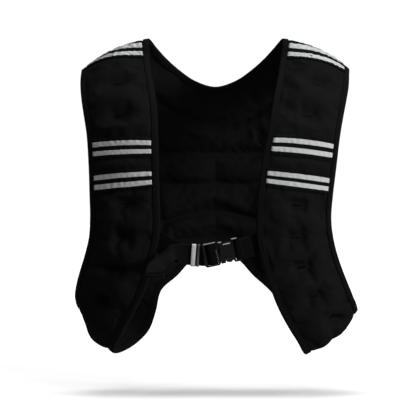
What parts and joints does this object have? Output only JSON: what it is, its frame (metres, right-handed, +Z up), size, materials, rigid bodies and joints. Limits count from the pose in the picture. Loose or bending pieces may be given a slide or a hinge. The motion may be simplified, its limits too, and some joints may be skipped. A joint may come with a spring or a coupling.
{
  "type": "weighted vest",
  "caption": "Sleeveless weighted vest of filled dark cloth: two front strips joined to a quilted back over the shoulders and under the arms, with reflective stripes and a buckled front belt.",
  "frame": {"origin": "midway between the two places where the shoulder straps rest on the wearer's shoulders, on the straps' underside", "axes": "+Z up, the vest's front faces -Y, +X is the viewer's right when looking at the front"},
  "size_m": [0.38, 0.2553, 0.4235],
  "materials": {
    "cloth": "matte knit over filling",
    "binding_tape": "matte folded tape",
    "ribbon": "matte woven ribbon",
    "reflective_stripe": "silver retroreflective film",
    "webbing": "woven webbing",
    "buckle_plastic": "satin moulded plastic"
  },
  "bodies": {
    "root": {"back_panel": "cloth", "front_panel_left": "cloth", "front_panel_right": "cloth", "edge_binding": "binding_tape", "armhole_binding_left": "binding_tape", "armhole_binding_right": "binding_tape", "shoulder_ribbon_right": "ribbon", "upper_chest_ribbon_right": "ribbon", "lower_chest_ribbon_right": "ribbon", "shoulder_ribbon_left": "ribbon", "upper_chest_ribbon_left": "ribbon", "lower_chest_ribbon_left": "ribbon", "belt_keeper": "ribbon", "shoulder_stripe_upper_right": "reflective_stripe", "shoulder_stripe_lower_right": "reflective_stripe", "upper_chest_stripe_upper_right": "reflective_stripe", "upper_chest_stripe_lower_right": "reflective_stripe", "lower_chest_stripe_upper_right": "reflective_stripe", "lower_chest_stripe_lower_right": "reflective_stripe", "shoulder_stripe_upper_left": "reflective_stripe", "shoulder_stripe_lower_left": "reflective_stripe", "upper_chest_stripe_upper_left": "reflective_stripe", "upper_chest_stripe_lower_left": "reflective_stripe", "lower_chest_stripe_upper_left": "reflective_stripe", "lower_chest_stripe_lower_left": "reflective_stripe", "belt_keeper_stripe_wide": "reflective_stripe", "belt_keeper_stripe_narrow": "reflective_stripe", "belt_webbing_left": "webbing", "belt_webbing_right": "webbing", "buckle_plug": "buckle_plastic", "buckle_socket": "buckle_plastic"}
  },
  "joints": []
}
